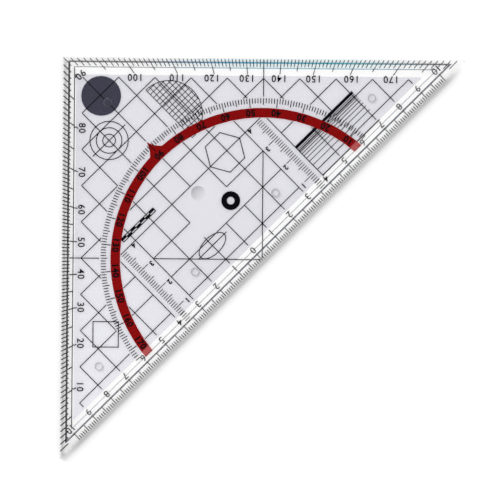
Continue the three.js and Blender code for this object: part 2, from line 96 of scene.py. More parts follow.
# What lies between each two edges of the relief, from the underside's margin round to the field.
ZONES = (
    "under_rim", "edge", "rim", "ledge", "wall_foot", "wall", "wall_brow", "outer_facet", "step_foot",
    "low_step", "step_brow", "inner_facet",
)
FIRST_UPPER_ZONE = ZONES.index("rim")

# The feet, in millimetres. Insets count from the nearest sharp corner, heights from the zero mark.
NUB_RIM_STEPS = 4
NUB_SINK = 0.1
APEX_NUB_INSET = 24.8
OUTER_NUB_INSET = 36.6
INNER_NUB_OFFSET = 22
LOW_NUB_HEIGHT = 15

# The gate: its place, its dish from the middle outwards as shares of radius and depth, and its stub.
GATE_OFFSET = 0.4
GATE_BAND_CLEARANCE = 19.65
GATE_DISH = ((0.3, 1), (0.6, 0.97), (0.85, 0.85), (0.96, 0.6), (1, 0.2), (1, -1))
STUB_RADIUS = 0.7
STUB_TOP_RADIUS = 0.65
STUB_SINK = 0.1
STUB_SHOULDER = 0.1
STUB_HEIGHT = 0.15

# The share of the light that passes each zone on its way to the paper. All passes where none is given.
PASSING = {
    "ruling": {"under_rim": 0.05, "edge": 0.2, "wall": 0.75, "low_step": 0.8, "inner_facet": 0.95},
    "right": {"under_rim": 0.95, "edge": 0.7, "wall": 0.9},
    "left": {"under_rim": 0.7, "edge": 0.2, "wall": 0.65, "low_step": 0.65},
}
SIDE_PASSING = 0.4
# Beyond these places along the ruling edge, in millimetres, the tips let at least this share by.
LEFT_TIP, LEFT_TIP_PASSING = -107, 0.5
RIGHT_TIP, RIGHT_TIP_PASSING = 104, 1

# How far the strips beside each dark line of painted shade turn to the rim's tint.
MARGIN_SHARES = {
    "wall_foot": {"ruling": 0.95, "right": 0.35, "left": 0.0},
    "wall_brow": {"ruling": 0.0, "right": 0.1, "left": 0.0},
    "step_foot": {"ruling": 0.5, "right": 0.2, "left": 0.0},
    "step_brow": {"ruling": 0.8, "right": 0.2, "left": 0.0},
}

# Where the right leg's painted shade and colour fringe turn blue, grey again and teal, as shares of
# half the ruling edge.
BLUE_START, BLUE_RISE = 0.2, 0.22
BLUE_END, BLUE_FALL = 0.88, 0.18
TEAL_START, TEAL_RISE = 0.42, 0.28
# Painted light: the field turns paler towards the left tip between these places along the ruling edge,
# in millimetres.
TIP_LIGHT_START, TIP_LIGHT_END = -20, -85

# The steepness, as the upright part of a face's normal, at which a face counts as upper or as level.
UPPER_FROM = 0.05
LEVEL_FROM = 0.9
# Room about the gate's dish and the foot behind the disc within which their faces are told apart.
DISH_ROOM_BELOW = 0.2
DISH_ROOM_ABOVE = 0.01
FOOT_ROOM = 0.1
# The dish's shade: its share in the middle, and its change from there to the rim.
DISH_MIDDLE = 0.5
DISH_CHANGE = 0.6

# Lengths of plain, half and long ticks, and the places of the scales, in millimetres.
TICK_LENGTHS = {
    "ruler": (1.8, 3.3, 3.9), "leg": (3.3, 4.85, 6.2), "ring": (2, 2.6, 3.65), "ladder": (2.5, 3.5, 5),
}
EDGE_MARGIN = 0.2
RING_CLEARANCE = 3.8
LADDER_CLEARANCE = 17.4
LADDER_FIRST = 4
TICK_DROP = 0.01
MERGE_REACH = 0.001

# The half-round patch of mesh, in millimetres, and the turn of each chord of its rim in degrees.
PATCH_OFFSET = 14
PATCH_APEX_INSET = 44.8
PATCH_RADIUS = 13
PATCH_BEND = 5
PATCH_HEIGHT = -0.09
PATCH_THICKNESS = 0.04

# Each scale's numerals: height above the underside, growth of the strokes, and spacing.
NUMERAL_STYLES = {
    "ruler": (-0.02, 0.005, 1.0), "leg": (-0.02, 0.015, 1.16),
    "band": (0.008, 0.042, 1.1), "ladder": (-0.02, 0.04, 1.0),
}
NUMERAL_CURVE_STEPS = 4
NUMERAL_EXTRUSION = 0.01
NUMERAL_DEPTH = 0.4
APEX_NUMERAL_PLACE = (0.05, 101.0)
# How far each numeral on the legs stands from its degree's ray, towards the tip, in millimetres.
LEG_SHIFTS = {
    10: 0.0, 20: 1.1, 30: 0.3, 40: -0.4, 50: -0.6, 60: -1.55, 70: -1.15, 80: -0.95,
    100: -1.3, 110: -0.6, 120: 0.0, 130: 0.0, 140: 0.0, 150: 0.3, 160: 0.3, 170: 1.0,
}

# Ink films that keep the frame's shapes.
BAND_WIDTH = 3.7
# Painted light: below this height the band's red is paler under the bright sloped facet.
FACET_LIT_HEIGHT = 7.3
BLACK_FILMS = (
    "grid_outer", "grid_middle", "grid_side", "grid_side_2", "centre_disc", "hatch_patch", "line_rake",
    "circle_set", "hexagon_outline", "oval_outline", "square_outline", "chequer_bar",
)
# The foot behind the large disc: its print in millimetres, its collar's layers in film thicknesses.
PRINT_RADIUS = 1.44
PRINT_HEIGHTS = (-0.12, -0.08)
COLLAR_RADIUS = 1.85
COLLAR_LAYERS = (1.8, 1.2)
COLLAR_HOLE_RADIUS = 1.52
COLLAR_HOLE_LAYERS = (2.5, 0)

# Sheen and tone: the least roughness of each finish and what its pattern adds, and the ink's deep
# tone, as a share of its colour, with the share of it where the cover is fullest.
INK_ROUGHNESS, INK_UNEVENNESS = 0.45, 0.2
INK_DEEP_TONE, INK_DEEP_SHARE = 0.7, 0.35
PLASTIC_ROUGHNESS, PLASTIC_UNEVENNESS = 0.015, 0.05
PAPER_ROUGHNESS, PAPER_UNEVENNESS = 0.85, 0.1

# The studio, in metres, and the camera's sensor in its own millimetres.
FLOOR_REACH = 3.0
LAMP_PLACE = (0, 0.5, 0.8)
SENSOR_WIDTH = 36
CLIP_START = 0.01

# Places of a Mix node's factor, colours and result, because sockets of other kinds share their names.
MIX_FACTOR, MIX_FIRST, MIX_SECOND, MIX_RESULT = 0, 6, 7, 2


def colour(name, description, default):
    return FloatVectorProperty(
        name=name, description=description, subtype="COLOR", size=3, min=0, max=1, default=default)


def millimetres(name, description, default):
    return FloatProperty(
        name=name, description=description, default=default * MM, unit="LENGTH", precision=5)


class PlateSettings(PropertyGroup):
    ledge_height: millimetres("Ledge", "Thickness of the low ledge round the edge", 1)
    ruling_ledge: millimetres("Ruling ledge", "Width of the ledge along the ruling edge", 3.05)
    right_ledge: millimetres("Right ledge", "Width of the ledge along the right leg", 1.4)
    left_ledge: millimetres("Left ledge", "Width of the ledge along the left leg", 2.3)
    edge_softness: millimetres("Edge softness", "Reach of the rounding on each moulded edge", 0.07)
    underside_lift: millimetres("Ink film", "Room between the underside and the printed films", 0.02)
    nub_radius: millimetres("Foot radius", "Radius of the round feet", 1.5)
    nub_rim: millimetres("Foot rim", "Rounding of the feet", 0.15)
    gate_radius: millimetres("Gate radius", "Radius of the recess round the gate", 2.85)
    gate_depth: millimetres("Gate depth", "Depth of the recess round the gate", 0.3)
    field: colour("Field", "Tint of the thick middle", (0.593, 0.585, 0.668))
    # Painted light: the field's tint turns paler towards its left tip.
    tip_lift: FloatProperty(
        name="Tip lift", description="How much paler the field is at its left tip", default=0.24)
    rim: colour("Rim", "Tint of the thin rim", (1.0, 1.0, 1.0))
    left_rim: colour("Left rim", "Tint of the rim on the left leg", (1.0, 1.0, 1.0))
    # Painted shade: the wall and low-step tints stand for the dark look of the steep clear steps.
    wall: colour("Wall", "Tint of the step round the field", (0.025, 0.025, 0.035))
    dark_wall: colour("Dark wall", "Tint of the step on the left leg", (0.002, 0.002, 0.003))
    # Painted shade with a painted blue and teal colour fringe along the right leg's wall, facet and
    # step.
    sky_wall: colour("Blue wall", "Tint of the wall halfway along the right leg", (0.0, 0.11, 0.33))
    teal_wall: colour("Teal wall", "Tint of the wall towards the right tip", (0.0, 0.18, 0.25))
    sky_facet: colour("Blue facet", "Tint of the right leg's facet beside the wall", (0.78, 0.95, 1.0))
    sky_step: colour("Blue step", "Tint of the right leg's low step", (0.02, 0.16, 0.26))
    # Painted shade across the gate's dish: the far half darker than the near half.
    recess: colour("Recess", "Tint of the near half of the gate's dish", (0.56, 0.55, 0.62))
    deep_recess: colour("Deep recess", "Tint of the far half of the gate's dish", (0.22, 0.22, 0.25))
    # Painted shade on the feet's sides.
    foot_side: colour("Foot side", "Tint of the feet's sides", (0.4, 0.4, 0.44))
    # Painted shade on the low step, also on the side of the foot behind the disc.
    low_step: colour("Low step", "Tint of the low step inside the facet", (0.09, 0.09, 0.11))


class ScaleSettings(PropertyGroup):
    ruler_width: millimetres("Ruler ticks", "Width of the ruler's graduations", 0.33)
    right_width: millimetres("Right ticks", "Width of the graduations on the right leg", 0.31)
    left_width: millimetres("Left ticks", "Width of the graduations on the left leg", 0.4)
    ring_width: millimetres("Ring ticks", "Width of the graduations of the ring", 0.35)
    ladder_width: millimetres("Ladder ticks", "Width of the upright scales' graduations", 0.3)
    groove_depth: millimetres("Groove depth", "How far a graduation is sunk into the plate", 0.12)
    end_margin: millimetres("End margin", "From the sharp tip to the ruler's last tick", 10.2)
    mesh_pitch: millimetres("Mesh pitch", "Pitch of the fine square mesh", 1.75)
    mesh_line: millimetres("Mesh line", "Width of the mesh's lines", 0.3)
    leg_first: IntProperty(name="First degree", description="First tick on the legs", default=1)
    ring_first: IntProperty(name="First ring degree", description="First tick of the ring", default=6)


class NumeralSettings(PropertyGroup):
    ruler_height: millimetres("Ruler numerals", "Height of the ruler's numerals", 2.7)
    ruler_line: millimetres("Ruler line", "From the ruling edge to the numerals' middle", 5.2)
    leg_height: millimetres("Leg numerals", "Height of the numerals on the legs", 2.7)
    leg_line: millimetres("Leg line", "From the leg to the numerals' middle", 7.75)
    band_height: millimetres("Band numerals", "Height of the numerals on the band", 2.75)
    ladder_height: millimetres("Ladder numerals", "Height of the numerals of the upright scales", 2.2)
    ladder_line: millimetres(
        "Ladder line", "From the middle to the numerals of the upright scales", 31.8)
    ladder_drop: millimetres("Ladder drop", "How far those numerals stand below their marks", 0.85)


class InkSettings(PropertyGroup):
    black: colour("Black ink", "Lines, ticks and numerals", (0.002, 0.002, 0.004))
    grey: colour("Grey ink", "The large disc", (0.064, 0.064, 0.089))
    soft: colour("Soft ink", "The ruler's numerals", (0.012, 0.012, 0.018))
    red: colour("Red ink", "The half-round band", (0.296, 0.002, 0.002))
    # Painted light: the band's ends are paler where the bright sloped facet lies over them.
    pale_red: colour("Pale red", "The band's ends under the sloped facet", (0.42, 0.075, 0.075))


class StudioSettings(PropertyGroup):
    floor: colour("Floor", "Colour of the floor", (0.95, 0.95, 0.95))
    sun_strength: FloatProperty(name="Lamp", description="Strength of the key light", default=3.2)
    sun_elevation: FloatProperty(
        name="Elevation", description="Height of the key light", subtype="ANGLE",
        default=math.radians(30))
    sun_spread: FloatProperty(
        name="Spread", description="Softness of the key light", subtype="ANGLE",
        default=math.radians(46))
    horizon_strength: FloatProperty(
        name="Low fill", description="Strength of the all-round light near the horizon", default=1.5)
    zenith_strength: FloatProperty(
        name="High fill", description="Strength of the all-round light overhead", default=0.05)
    frame_width: millimetres("View width", "Width that the camera takes in", 195.34)
    lens: FloatProperty(name="Lens", description="Focal length", subtype="DISTANCE_CAMERA", default=100)
    turn: FloatProperty(
        name="Turn", description="How far the camera is turned", subtype="ANGLE",
        default=math.radians(-44.5))
    aim: FloatVectorProperty(
        name="Aim", description="Middle of the view, from the zero mark", size=2, unit="LENGTH",
        default=(-0.738 * MM, 5.996 * MM))


class SetSquareSettings(PropertyGroup):
    plate: PointerProperty(type=PlateSettings)
    scales: PointerProperty(type=ScaleSettings)
    numerals: PointerProperty(type=NumeralSettings)
    ink: PointerProperty(type=InkSettings)
    studio: PointerProperty(type=StudioSettings)


def settings():
    return bpy.context.scene.set_square


def placed(x, y, height=0):
    """A plan point in millimetres, as a place in the frame."""
    return Vector((x * MM, PLATE_LOW[1] + (ZERO_INSET + y) * MM, UNDERSIDE + height * MM))


def polar(radius, degrees):
    return radius * math.cos(math.radians(degrees)), radius * math.sin(math.radians(degrees))


# Node trees.

class Number:
    """A number on a node's socket: sums with it add their own Math nodes."""

    def __init__(self, tree, socket):
        self.tree = tree
        self.socket = socket

    def maths(self, operation, first, second):
        node = self.tree.add("ShaderNodeMath", {"operation": operation}, {0: first, 1: second})
        return Number(self.tree, node.outputs[0])

    def __add__(self, other):
        return self.maths("ADD", self, other)

    def __radd__(self, other):
        return self.maths("ADD", other, self)

    def __sub__(self, other):
        return self.maths("SUBTRACT", self, other)

    def __rsub__(self, other):
        return self.maths("SUBTRACT", other, self)

    def __mul__(self, other):
        return self.maths("MULTIPLY", self, other)

    def __rmul__(self, other):
        return self.maths("MULTIPLY", other, self)

    def __lt__(self, other):
        return self.maths("LESS_THAN", self, other)

    def __gt__(self, other):
        return self.maths("GREATER_THAN", self, other)


class Tree:
    """A node tree and the one way in which nodes are added to it."""

    def __init__(self, tree):
        self.tree = tree

    def add(self, kind, choices=None, inputs=None):
        node = self.tree.nodes.new(kind)
        for name, value in (choices or {}).items():
            setattr(node, name, value)
        for name, value in (inputs or {}).items():
            self.feed(node.inputs[name], value)
        return node

    def feed(self, socket, value):
        if isinstance(value, Number):
            self.tree.links.new(value.socket, socket)
        elif isinstance(value, bpy.types.NodeSocket):
            self.tree.links.new(value, socket)
        else:
            socket.default_value = value


class Shader(Tree):
    """A material's tree, with the patterns that this object's finishes share."""

    def __init__(self, name):
        self.material = bpy.data.materials.new(name)
        self.material.use_nodes = True
        super().__init__(self.material.node_tree)
        self.tree.nodes.clear()

    def place(self):
        return self.add("ShaderNodeTexCoord").outputs["Object"]

    def noise(self, scale, detail=2.0, roughness=0.5):
        """A fine irregular pattern that is fixed to the piece."""
        node = self.add("ShaderNodeTexNoise", None, {
            "Vector": self.place(), "Scale": scale, "Detail": detail, "Roughness": roughness})
        return Number(self, node.outputs["Fac"])

    def blend(self, factor, first, second, way="MIX"):
        """A colour between two others, or their product where way is MULTIPLY."""
        choices = {"data_type": "RGBA", "blend_type": way, "clamp_result": way == "MULTIPLY"}
        node = self.add("ShaderNodeMix", choices, {
            MIX_FACTOR: factor, MIX_FIRST: first, MIX_SECOND: second})
        return node.outputs[MIX_RESULT]

    def bump(self, height, strength, distance):
        node = self.add("ShaderNodeBump", None, {
            "Height": height, "Strength": strength, "Distance": distance})
        return node.outputs["Normal"]

    def principled(self, inputs):
        return self.add("ShaderNodeBsdfPrincipled", None, inputs)

    def finish(self, socket):
        self.add("ShaderNodeOutputMaterial", None, {"Surface": socket})
        return self.material


def opaque(rgb):
    return (*rgb, 1.0)


def printed_ink(name, rgb, facet_lit=None, facet_lit_height=0):
    """Matt screen ink: slightly uneven cover and sheen. Below a given height it can turn paler, painted
    light under a bright facet.
    """
    shader = Shader(name)
    cover = shader.noise(scale=900.0, detail=3.0)
    deep_tone = opaque([channel * INK_DEEP_TONE for channel in rgb])
    tone = shader.blend(cover * INK_DEEP_SHARE, opaque(rgb), deep_tone)
    # Painted light: below the given height the ink turns to its paler colour under the bright facet.
    if facet_lit:
        height = shader.add("ShaderNodeSeparateXYZ", None, {"Vector": shader.place()}).outputs["Y"]
        low = Number(shader, height) < placed(0, facet_lit_height).y
        tone = shader.blend(low, tone, opaque(facet_lit))
    grain = shader.noise(scale=6000.0)
    body = shader.principled({
        "Base Color": tone,
        "Roughness": INK_ROUGHNESS + INK_UNEVENNESS * cover,
        "Specular IOR Level": 0.0,
        "Normal": shader.bump(grain, strength=0.15, distance=0.02 * MM),
    })
    return shader.finish(body.outputs["BSDF"])


def clear_plastic(name, tip_lift):
    """Polished clear moulding. Each zone has its painted tint and lets its own share of light by."""
    shader = Shader(name)
    painted = shader.add("ShaderNodeAttribute", {"attribute_name": "tint"}).outputs
    # Painted light: towards the left tip every tint, the field's most visibly, turns paler.
    along = shader.add("ShaderNodeSeparateXYZ", None, {"Vector": shader.place()}).outputs["X"]
    towards_tip = shader.add("ShaderNodeMapRange", None, {
        "Value": along,
        "From Min": placed(TIP_LIGHT_START, 0).x,
        "From Max": placed(TIP_LIGHT_END, 0).x,
    }).outputs["Result"]
    tint_with_tip_light = shader.blend(1.0, painted["Color"], opaque([1 + tip_lift] * 3), way="MULTIPLY")
    polish = shader.noise(scale=120.0, detail=4.0, roughness=0.6)
    ripple = shader.noise(scale=35.0, detail=1.0)
    body = shader.principled({
        "Base Color": shader.blend(towards_tip, painted["Color"], tint_with_tip_light),
        "Roughness": PLASTIC_ROUGHNESS + PLASTIC_UNEVENNESS * polish,
        "IOR": 1.49,
        "Specular IOR Level": 0.1,
        "Transmission Weight": 1.0,
        "Normal": shader.bump(ripple, strength=0.05, distance=0.05 * MM),
    })
    path = shader.add("ShaderNodeLightPath").outputs
    shadow = Number(shader, path["Is Shadow Ray"]) + Number(shader, path["Is Diffuse Ray"])
    held = shader.add("ShaderNodeBsdfDiffuse", None, {"Color": (0, 0, 0, 1)}).outputs["BSDF"]
    passed = shader.add("ShaderNodeBsdfTransparent", None, {"Color": (1, 1, 1, 1)}).outputs["BSDF"]
    share = shader.add("ShaderNodeMixShader", None, {0: painted["Alpha"], 1: held, 2: passed})
    mixed = shader.add("ShaderNodeMixShader", None, {
        0: shadow, 1: body.outputs["BSDF"], 2: share.outputs["Shader"]})
    return shader.finish(mixed.outputs["Shader"])


# Meshes.

def add_object(name, mesh, material, slot_name):
    """A finished piece at the origin, riding on the plate's body."""
    piece = bpy.data.objects.new(name, mesh)
    bpy.context.scene.collection.objects.link(piece)
    mesh.materials.clear()
    mesh.materials.append(material)
    piece.visible_shadow = slot_name == "clear_plastic"
    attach(piece, ROOT)
    return piece


def stacked_rings(name, rings):
    """A closed mesh through rings of equally many points, lowest first, both ends capped."""
    count = len(rings[0])
    faces = [tuple(reversed(range(count)))]
    for level in range(len(rings) - 1):
        low = level * count
        for i in range(count):
            step = (i + 1) % count
            faces.append((low + i, low + step, low + count + step, low + count + i))
    faces.append(tuple(range((len(rings) - 1) * count, len(rings) * count)))
    mesh = bpy.data.meshes.new(name)
    mesh.from_pydata([point for ring in rings for point in ring], [], faces)
    mesh.validate()
    return mesh


def evaluated_mesh(source):
    """A plain mesh of what an object's modifiers make of it."""
    depsgraph = bpy.context.evaluated_depsgraph_get()
    return bpy.data.meshes.new_from_object(source.evaluated_get(depsgraph))


def scratch_object(name, data):
    made = bpy.data.objects.new(name, data)
    bpy.context.scene.collection.objects.link(made)
    return made


def discard(*objects):
    for gone in objects:
        bpy.data.objects.remove(gone, do_unlink=True)


def combined(mesh, cutters, operation):
    """The mesh joined with, or cut by, each of the other meshes."""
    for cutter_mesh in cutters:
        base = scratch_object("base", mesh)
        cutter = scratch_object("cutter", cutter_mesh)
        boolean = base.modifiers.new("cut", "BOOLEAN")
        boolean.operation = operation
        boolean.solver = "EXACT"
        boolean.object = cutter
        mesh = evaluated_mesh(base)
        discard(base, cutter)
    return mesh


# Plate.

def relief_profile(ledge, inner_facet, ledge_height):
    """Inset and height of each edge of the relief, in millimetres, from the underside up."""
    wall = ledge + WALL_RUN
    facet = wall + OUTER_FACET_WIDTH
    step = facet + LOW_STEP_RUN
    wall_top = ledge_height + WALL_RISE
    facet_top = wall_top + OUTER_FACET_RISE
    step_top = facet_top + LOW_STEP_RISE
    return [
        (UNDER_RIM_WIDTH, 0),
        (0, 0),
        (0, ledge_height),
        (ledge / 2, ledge_height),
        (ledge - WALL_MARGIN, ledge_height),
        (ledge, ledge_height),
        (wall, wall_top),
        (wall + WALL_MARGIN, wall_top + OUTER_FACET_RISE * WALL_MARGIN / OUTER_FACET_WIDTH),
        (facet - STEP_MARGIN, facet_top - OUTER_FACET_RISE * STEP_MARGIN / OUTER_FACET_WIDTH),
        (facet, facet_top),
        (step, step_top),
        (step + STEP_MARGIN, step_top + INNER_FACET_RISE * STEP_MARGIN / inner_facet),
        (step + inner_facet, PLATE_THICKNESS),
    ]


def softened(profile, reach):
    """The profile with each corner between two runs rounded by three points."""
    points = [Vector(p) for p in profile]
    soft = [points[0]]
    following = points[2:] + [points[-1] + Vector((1, 0))]
    for before, corner, after in zip(points, points[1:], following):
        start = corner + (before - corner).normalized() * reach
        end = corner + (after - corner).normalized() * reach
        middle = (start + end) / 4 + corner / 2
        soft += [start, middle, end]
    return soft


def corner_place(insets, corner):
    """Where two sides meet once each is moved inwards by its inset."""
    (angle_a, distance_a), (angle_b, distance_b) = (SIDES[side] for side in corner)
    a = Vector(polar(1, angle_a))
    b = Vector(polar(1, angle_b))
    reach_a = distance_a - insets[corner[0]]
    reach_b = distance_b - insets[corner[1]]
    cross = a.x * b.y - a.y * b.x
    return Vector((reach_a * b.y - reach_b * a.y, reach_b * a.x - reach_a * b.x)) / cross


def relief_ring(level, arc_steps=6, side_steps=24):
    """One ring round the plate. level holds inset and height for each side."""
    insets = {side: level[side].x + CORNER_RADIUS for side in SIDES}
    ring = []
    for i, corner in enumerate(CORNERS):
        centre = corner_place(insets, corner)
        start, end = (SIDES[side][0] for side in corner)
        turn = (end - start) % 360
        for step in range(arc_steps + 1):
            share = step / arc_steps
            point = centre + Vector(polar(CORNER_RADIUS, start + turn * share))
            height = level[corner[0]].y * (1 - share) + level[corner[1]].y * share
            ring.append((point, height))
        following = corner_place(insets, CORNERS[(i + 1) % 3])
        for step in range(1, side_steps):
            along = centre.lerp(following, step / side_steps)
            point = along + Vector(polar(CORNER_RADIUS, end))
            ring.append((point, level[corner[1]].y))
    return [placed(point.x, point.y, height) for point, height in ring]


def disc_ring(centre, radius, height, steps=48):
    x, y = centre
    return [placed(x + dx, y + dy, height)
            for dx, dy in (polar(radius, 360 * i / steps) for i in range(steps))]


def nub_mesh(centre, radius, rim):
    """A foot with a rounded rim that reaches up into the plate."""
    rings = []
    for step in range(NUB_RIM_STEPS + 1):
        turn = math.pi / 2 * step / NUB_RIM_STEPS
        rings.append(disc_ring(
            centre, radius - rim + rim * math.sin(turn), rim - NUB_HEIGHT - rim * math.cos(turn)))
    rings.append(disc_ring(centre, radius, NUB_SINK))
    return stacked_rings("nub", rings)


def band_outer_radius():
    """The band's ends are cut level, so its widest points lie on the outer circle at that height."""
    reach = BAND_HIGH[0] / MM
    height = (BAND_LOW[1] - PLATE_LOW[1]) / MM - ZERO_INSET
    return math.hypot(reach, height)


def band_inner_radius():
    return band_outer_radius() - BAND_WIDTH


def nub_places():
    """The middle of each foot. The first one stands behind the large disc."""
    outer = HALF_LENGTH - OUTER_NUB_INSET
    offsets = (-outer, -INNER_NUB_OFFSET, INNER_NUB_OFFSET, outer)
    return [(0, SCALE_HALF_LENGTH - APEX_NUB_INSET), *((x, LOW_NUB_HEIGHT) for x in offsets)]


def gate_place():
    return GATE_OFFSET, band_inner_radius() - GATE_BAND_CLEARANCE


def dish_mesh(look):
    """What is cut away round the gate."""
    radius = look.gate_radius / MM
    depth = look.gate_depth / MM
    return stacked_rings("dish", [
        disc_ring(gate_place(), radius * across, PLATE_THICKNESS - depth * down)
        for across, down in GATE_DISH])


def stub_mesh(look):
    """What is left of the gate, on the dish's floor."""
    floor = PLATE_THICKNESS - look.gate_depth / MM
    return stacked_rings("stub", [
        disc_ring(gate_place(), STUB_RADIUS, floor - STUB_SINK),
        disc_ring(gate_place(), STUB_RADIUS, floor + STUB_SHOULDER),
        disc_ring(gate_place(), STUB_TOP_RADIUS, floor + STUB_HEIGHT),
    ])


def plate_profiles(look):
    """The relief profile of each side."""
    ledges = {
        "ruling": look.ruling_ledge / MM, "right": look.right_ledge / MM, "left": look.left_ledge / MM}
    return {side: relief_profile(ledges[side], INNER_FACET_WIDTHS[side], look.ledge_height / MM)
            for side in SIDES}


def zone_at(x, y, profiles):
    """The outermost relief zone over a plan point, with its side, or None over the field."""
    best = None
    for side, (angle, distance) in SIDES.items():
        normal = polar(1, angle)
        inset = distance - x * normal[0] - y * normal[1]
        edges = [edge[0] for edge in profiles[side]]
        for zone in range(FIRST_UPPER_ZONE, len(ZONES)):
            if inset < edges[zone + 1] and (best is None or zone < best[0]):
                best = (zone, side)
                break
    return best and (ZONES[best[0]], best[1])


def mixed(first, second, share):
    return [a * (1 - share) + b * share for a, b in zip(first, second)]


def colour_share(x):
    """How far the painted colour fringe at a place along the right leg has turned from grey to blue,
    from 0 to 1.
    """
    along = x / HALF_LENGTH
    return min(max((along - BLUE_START) / BLUE_RISE, 0), max((BLUE_END - along) / BLUE_FALL, 0), 1)


def zone_tint(look, zone, side, x):
    """The tint of a zone: painted shade on the walls and low steps, and along the right leg a painted
    colour fringe that runs from grey through blue to teal.
    """
    rim, wall, step = look.rim, look.wall, look.low_step
    if side == "left":
        rim, wall, step = look.left_rim, look.dark_wall, look.dark_wall
    if side == "right":
        share = colour_share(x)
        teal = min(max((x / HALF_LENGTH - TEAL_START) / TEAL_RISE, 0), 1)
        rim = mixed(rim, look.sky_facet, share)
        wall = mixed(wall, mixed(look.sky_wall, look.teal_wall, teal), share)
        step = mixed(step, look.sky_step, share)
    if zone in MARGIN_SHARES:
        line = wall if zone.startswith("wall") else step
        return mixed(line, rim, MARGIN_SHARES[zone][side])
    return {"wall": wall, "low_step": step, "inner_facet": look.rim}.get(zone, rim)


def paint_zones(mesh, look, profiles):
    """Gives every face corner the tint of the zone in which its face lies."""
    tint = mesh.color_attributes.new("tint", "FLOAT_COLOR", "CORNER")
    origin = placed(0, 0)
    under_disc = Vector(nub_places()[0])
    dish_low = PLATE_THICKNESS - look.gate_depth / MM - DISH_ROOM_BELOW
    dish_high = PLATE_THICKNESS - DISH_ROOM_ABOVE
    for face in mesh.polygons:
        middle = (face.center - origin) / MM
        zone = zone_at(middle.x, middle.y, profiles)
        upwards = face.normal.z > UPPER_FROM
        in_gate = not zone and dish_low < middle.z < dish_high
        for loop in face.loop_indices:
            corner = (mesh.vertices[mesh.loops[loop].vertex_index].co - origin) / MM
            passing = 1
            if zone and upwards:
                rgb = zone_tint(look, *zone, corner.x)
                passing = PASSING[zone[1]].get(zone[0], 1)
            # Painted shade across the gate's dish, darker towards the right angle.
            elif in_gate and middle.z > 0:
                share = (corner.y - gate_place()[1]) / (look.gate_radius / MM)
                shade = min(max(DISH_MIDDLE + DISH_CHANGE * share, 0), 1)
                rgb = mixed(look.recess, look.deep_recess, shade)
            elif upwards:
                rgb = look.field
            # Painted shade on the feet's sides, darker on the foot behind the disc; other steep faces
            # keep the rim's tint.
            elif abs(face.normal.z) < LEVEL_FROM:
                rgb = look.foot_side if middle.z < 0 else look.rim
                foot_reach = look.nub_radius / MM + FOOT_ROOM
                if middle.z < 0 and (middle.xy - under_disc).length < foot_reach:
                    rgb = look.low_step
                passing = PASSING[zone[1]]["edge"] if zone else SIDE_PASSING
            else:
                rgb = (1, 1, 1)
                passing = PASSING[zone[1]]["under_rim"] if zone else 1
            if corner.x < LEFT_TIP:
                passing = max(passing, LEFT_TIP_PASSING)
            if corner.x > RIGHT_TIP:
                passing = max(passing, RIGHT_TIP_PASSING)
            tint.data[loop].color = (*rgb, passing)


class SETSQUARE_OT_plate(Operator):
    """Moulds the clear plate with its relief, feet and gate recess."""
    bl_idname = "set_square.plate"
    bl_label = "Clear plate"

    def execute(self, context):
        look = settings().plate
        profiles = plate_profiles(look)
        soft = {side: softened(profile, look.edge_softness / MM) for side, profile in profiles.items()}
        for profile in soft.values():
            for point in profile[:UNDERSIDE_POINTS]:
                point.y = max(point.y, look.underside_lift / MM)
        levels = [{side: soft[side][i] for side in SIDES} for i in range(len(soft["ruling"]))]
        mesh = stacked_rings("clear_plate", [relief_ring(level) for level in levels])
        nubs = [nub_mesh(centre, look.nub_radius / MM, look.nub_rim / MM) for centre in nub_places()]
        mesh = combined(mesh, nubs, "UNION")
        mesh = combined(mesh, [dish_mesh(look)], "DIFFERENCE")
        mesh = combined(mesh, [stub_mesh(look)], "UNION")
        paint_zones(mesh, look, profiles)
        finish = clear_plastic("clear_plastic", look.tip_lift)
        plate = add_object("clear_plate", mesh, finish, "clear_plastic")
        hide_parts("plate")
        return {"FINISHED"}


# Graduations.

def tick_length(count, scale):
    """Every tenth tick of a scale is long, and every fifth one is half long."""
    plain, half, long = TICK_LENGTHS[scale]
    if count % 10 == 0:
        return long
    return half if count % 5 == 0 else plain


def ruler_ticks(scales):
    last = math.floor(SCALE_HALF_LENGTH - scales.end_margin / MM)
    for count in range(-last, last + 1):
        end = tick_length(count, "ruler")
        yield (count, EDGE_MARGIN - ZERO_INSET), (count, end - ZERO_INSET)


def leg_ticks(first, last):
    """Ticks that point at the zero mark. The one in the right angle is plain."""
    for degree in range(first, last + 1):
        angle, distance = SIDES["right" if degree <= 90 else "left"]
        slant = math.cos(math.radians(degree - angle))
        length = TICK_LENGTHS["leg"][0] if degree == 90 else tick_length(degree, "leg")
        start = polar((distance - EDGE_MARGIN) / slant, degree)
        yield start, polar((distance - length) / slant, degree)


def right_leg_ticks(scales):
    return leg_ticks(scales.leg_first, 90)


def left_leg_ticks(scales):
    return leg_ticks(91, 180 - scales.leg_first)


def ring_ticks(scales):
    radius = band_outer_radius() + RING_CLEARANCE
    for degree in range(scales.ring_first, 181 - scales.ring_first):
        yield polar(radius, degree), polar(radius - tick_length(degree, "ring"), degree)


def ladder_ticks(scales):
    offset = band_inner_radius() - LADDER_CLEARANCE
    last = math.floor(math.sqrt(band_inner_radius() ** 2 - offset ** 2))
    for hand in (-1, 1):
        for count in range(LADDER_FIRST, last + 1):
            end = offset - tick_length(count, "ladder")
            yield (hand * offset, count), (hand * end, count)


def tick_points(name, ticks, height):
    """One vertex at the middle of each tick, with the tick's direction and length on it."""
    ticks = list(ticks)
    mesh = bpy.data.meshes.new(name)
    middles = [placed((a[0] + b[0]) / 2, (a[1] + b[1]) / 2, height) for a, b in ticks]
    mesh.from_pydata(middles, [], [])
    angle = mesh.attributes.new("tick_angle", "FLOAT", "POINT")
    length = mesh.attributes.new("tick_length", "FLOAT", "POINT")
    for i, (a, b) in enumerate(ticks):
        angle.data[i].value = math.atan2(b[1] - a[1], b[0] - a[0])
        length.data[i].value = math.hypot(b[0] - a[0], b[1] - a[1]) * MM
    return mesh


